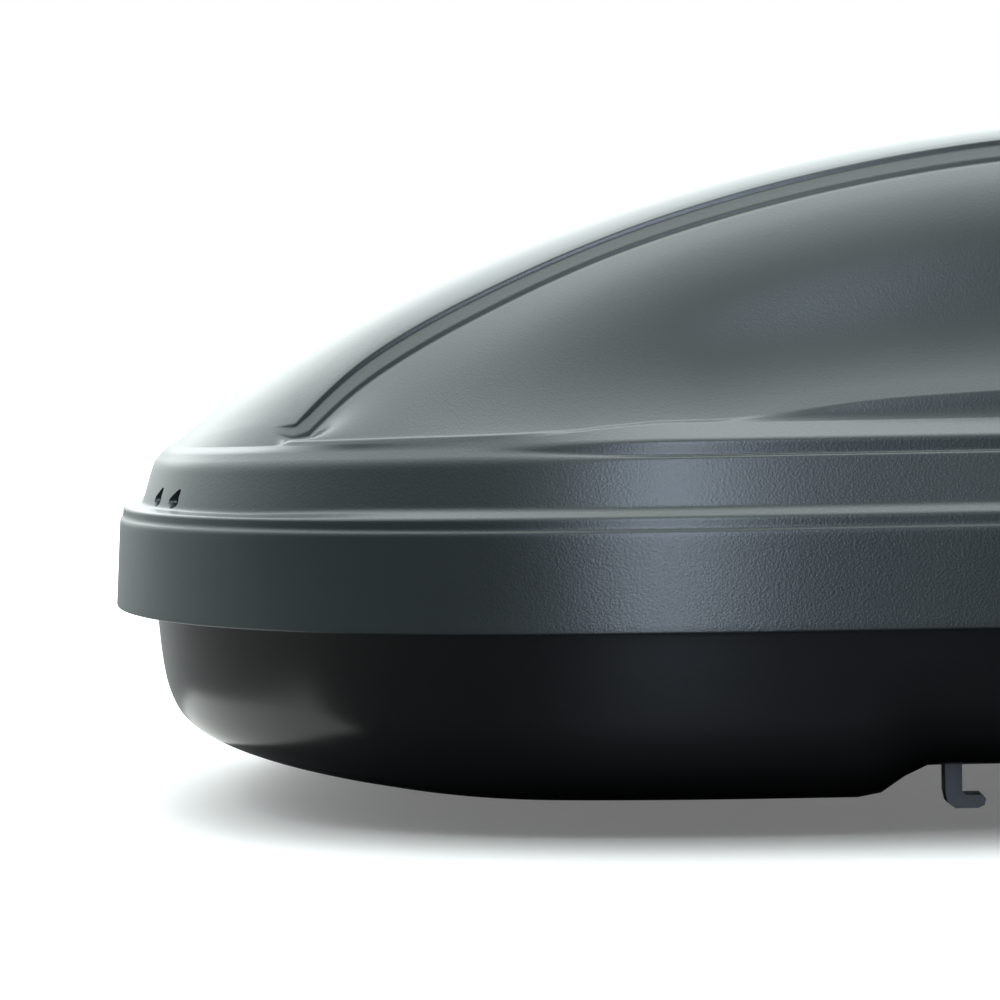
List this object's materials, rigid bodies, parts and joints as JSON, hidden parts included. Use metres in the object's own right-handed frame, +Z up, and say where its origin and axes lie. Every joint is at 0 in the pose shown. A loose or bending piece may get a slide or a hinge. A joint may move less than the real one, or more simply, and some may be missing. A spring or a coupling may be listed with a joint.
{
  "type": "roof cargo box",
  "caption": "Car roof cargo box with a side-opening hinged lid, recessed side panels, spring lid lifters, a side lock and screw-driven claw clamps for roof bars.",
  "frame": {"origin": "centre of the flat deck's underside, at the height where it rests on the roof bars", "axes": "+X towards the tail (the nose is at -X), -Y the side that opens, +Y the hinge side, +Z up"},
  "size_m": [1.75, 0.846, 0.4574],
  "materials": {
    "lid_plastic": "fine-grained satin charcoal",
    "base_plastic": "satin black",
    "black_fittings": "matte dark grey",
    "black_grips": "matte black",
    "zinc_steel": "zinc plated",
    "bright_steel": "bright",
    "dark_steel": "dark, phosphated",
    "lock_metal": "polished",
    "webbing": "woven black"
  },
  "bodies": {
    "base": {"base_shell": "base_plastic", "floor_plate_front": "zinc_steel", "floor_plate_rear": "zinc_steel", "hinge_base_leaf_front": "bright_steel", "hinge_base_leaf_middle": "bright_steel", "hinge_base_leaf_rear": "bright_steel", "hinge_pin_front": "bright_steel", "hinge_pin_middle": "bright_steel", "hinge_pin_rear": "bright_steel", "striker_front": "bright_steel", "striker_middle": "bright_steel", "striker_rear": "bright_steel", "lifter_base_bracket_front": "zinc_steel", "lifter_base_bracket_rear": "zinc_steel", "clamp_housing_front_left": "black_fittings", "clamp_housing_front_right": "black_fittings", "clamp_housing_rear_left": "black_fittings", "clamp_housing_rear_right": "black_fittings", "luggage_strap_front": "webbing", "luggage_strap_rear": "webbing", "strap_buckle_front": "black_grips", "strap_buckle_rear": "black_grips"},
    "lid": {"lid_shell": "lid_plastic", "hinge_lid_leaf_front": "bright_steel", "hinge_lid_leaf_middle": "bright_steel", "hinge_lid_leaf_rear": "bright_steel", "lock_housing": "black_fittings", "rail_guide_1": "black_fittings", "rail_guide_2": "black_fittings", "rail_guide_3": "black_fittings", "rail_guide_4": "black_fittings", "lifter_lid_bracket_front": "zinc_steel", "lifter_lid_bracket_rear": "zinc_steel", "pull_strap": "webbing"},
    "lock": {"lock_cylinder": "lock_metal"},
    "key": {"key": "lock_metal"},
    "rail": {"lock_rail": "zinc_steel"},
    "lower_arm_front": {"lifter_lower_arm_front": "zinc_steel", "lifter_spring_front": "dark_steel"},
    "upper_arm_front": {"lifter_upper_arm_front": "zinc_steel"},
    "lower_arm_rear": {"lifter_lower_arm_rear": "zinc_steel", "lifter_spring_rear": "dark_steel"},
    "upper_arm_rear": {"lifter_upper_arm_rear": "zinc_steel"},
    "knob_front_left": {"clamp_knob_front_left": "black_grips"},
    "claw_fore_front_left": {"clamp_claw_fore_front_left": "dark_steel"},
    "claw_aft_front_left": {"clamp_claw_aft_front_left": "dark_steel"},
    "knob_front_right": {"clamp_knob_front_right": "black_grips"},
    "claw_fore_front_right": {"clamp_claw_fore_front_right": "dark_steel"},
    "claw_aft_front_right": {"clamp_claw_aft_front_right": "dark_steel"},
    "knob_rear_left": {"clamp_knob_rear_left": "black_grips"},
    "claw_fore_rear_left": {"clamp_claw_fore_rear_left": "dark_steel"},
    "claw_aft_rear_left": {"clamp_claw_aft_rear_left": "dark_steel"},
    "knob_rear_right": {"clamp_knob_rear_right": "black_grips"},
    "claw_fore_rear_right": {"clamp_claw_fore_rear_right": "dark_steel"},
    "claw_aft_rear_right": {"clamp_claw_aft_rear_right": "dark_steel"}
  },
  "joints": [
    {"name": "lid_hinge", "type": "hinge", "parent": "base", "child": "lid", "pos_m": [0, 0.403, 0.083], "axis": [-1, 0, 0], "range_deg": [0, 55]},
    {"name": "lock_turn", "type": "hinge", "parent": "lid", "child": "lock", "pos_m": [0.1, -0.41, 0.118], "axis": [0, 1, 0], "range_deg": [0, 90]},
    {"name": "rail_slide", "type": "slide", "parent": "lid", "child": "rail", "axis": [1, 0, 0], "range_m": [0, 0.0099]},
    {"name": "key_slide", "type": "slide", "parent": "lock", "child": "key", "axis": [0, -1, 0], "range_m": [0, 0.03]},
    {"name": "lower_arm_front_turn", "type": "hinge", "parent": "base", "child": "lower_arm_front", "pos_m": [-0.31, 0.29, 0.04], "axis": [-1, 0, 0], "range_deg": [0, 55]},
    {"name": "upper_arm_front_turn", "type": "hinge", "parent": "lid", "child": "upper_arm_front", "pos_m": [-0.31, 0.36, 0.202], "axis": [-1, 0, 0], "range_deg": [-55, 0]},
    {"name": "lower_arm_rear_turn", "type": "hinge", "parent": "base", "child": "lower_arm_rear", "pos_m": [0.48, 0.29, 0.04], "axis": [-1, 0, 0], "range_deg": [0, 55]},
    {"name": "upper_arm_rear_turn", "type": "hinge", "parent": "lid", "child": "upper_arm_rear", "pos_m": [0.48, 0.36, 0.202], "axis": [-1, 0, 0], "range_deg": [-55, 0]},
    {"name": "knob_front_left_turn", "type": "hinge", "parent": "base", "child": "knob_front_left", "pos_m": [-0.265, -0.22, 0.0389], "axis": [0, 0, 1], "range_deg": [0, 720]},
    {"name": "claw_fore_front_left_swing", "type": "hinge", "parent": "base", "child": "claw_fore_front_left", "pos_m": [-0.314, -0.22, 0.02], "axis": [0, 1, 0], "range_deg": [0, 20]},
    {"name": "claw_aft_front_left_swing", "type": "hinge", "parent": "base", "child": "claw_aft_front_left", "pos_m": [-0.216, -0.22, 0.02], "axis": [0, -1, 0], "range_deg": [0, 20]},
    {"name": "knob_front_right_turn", "type": "hinge", "parent": "base", "child": "knob_front_right", "pos_m": [-0.265, 0.22, 0.0389], "axis": [0, 0, 1], "range_deg": [0, 720]},
    {"name": "claw_fore_front_right_swing", "type": "hinge", "parent": "base", "child": "claw_fore_front_right", "pos_m": [-0.314, 0.22, 0.02], "axis": [0, 1, 0], "range_deg": [0, 20]},
    {"name": "claw_aft_front_right_swing", "type": "hinge", "parent": "base", "child": "claw_aft_front_right", "pos_m": [-0.216, 0.22, 0.02], "axis": [0, -1, 0], "range_deg": [0, 20]},
    {"name": "knob_rear_left_turn", "type": "hinge", "parent": "base", "child": "knob_rear_left", "pos_m": [0.435, -0.22, 0.0389], "axis": [0, 0, 1], "range_deg": [0, 720]},
    {"name": "claw_fore_rear_left_swing", "type": "hinge", "parent": "base", "child": "claw_fore_rear_left", "pos_m": [0.386, -0.22, 0.02], "axis": [0, 1, 0], "range_deg": [0, 20]},
    {"name": "claw_aft_rear_left_swing", "type": "hinge", "parent": "base", "child": "claw_aft_rear_left", "pos_m": [0.484, -0.22, 0.02], "axis": [0, -1, 0], "range_deg": [0, 20]},
    {"name": "knob_rear_right_turn", "type": "hinge", "parent": "base", "child": "knob_rear_right", "pos_m": [0.435, 0.22, 0.0389], "axis": [0, 0, 1], "range_deg": [0, 720]},
    {"name": "claw_fore_rear_right_swing", "type": "hinge", "parent": "base", "child": "claw_fore_rear_right", "pos_m": [0.386, 0.22, 0.02], "axis": [0, 1, 0], "range_deg": [0, 20]},
    {"name": "claw_aft_rear_right_swing", "type": "hinge", "parent": "base", "child": "claw_aft_rear_right", "pos_m": [0.484, 0.22, 0.02], "axis": [0, -1, 0], "range_deg": [0, 20]}
  ],
  "couplings": [
    {"joint": "lock_turn", "follows": "rail_slide", "rad_per_m": 158.6},
    {"joint": "lower_arm_front_turn", "follows": "lid_hinge", "ratio": 1},
    {"joint": "upper_arm_front_turn", "follows": "lid_hinge", "ratio": -1},
    {"joint": "lower_arm_rear_turn", "follows": "lid_hinge", "ratio": 1},
    {"joint": "upper_arm_rear_turn", "follows": "lid_hinge", "ratio": -1},
    {"joint": "claw_fore_front_left_swing", "follows": "knob_front_left_turn", "ratio": 0.027778},
    {"joint": "claw_aft_front_left_swing", "follows": "knob_front_left_turn", "ratio": 0.027778},
    {"joint": "claw_fore_front_right_swing", "follows": "knob_front_right_turn", "ratio": 0.027778},
    {"joint": "claw_aft_front_right_swing", "follows": "knob_front_right_turn", "ratio": 0.027778},
    {"joint": "claw_fore_rear_left_swing", "follows": "knob_rear_left_turn", "ratio": 0.027778},
    {"joint": "claw_aft_rear_left_swing", "follows": "knob_rear_left_turn", "ratio": 0.027778},
    {"joint": "claw_fore_rear_right_swing", "follows": "knob_rear_right_turn", "ratio": 0.027778},
    {"joint": "claw_aft_rear_right_swing", "follows": "knob_rear_right_turn", "ratio": 0.027778}
  ]
}
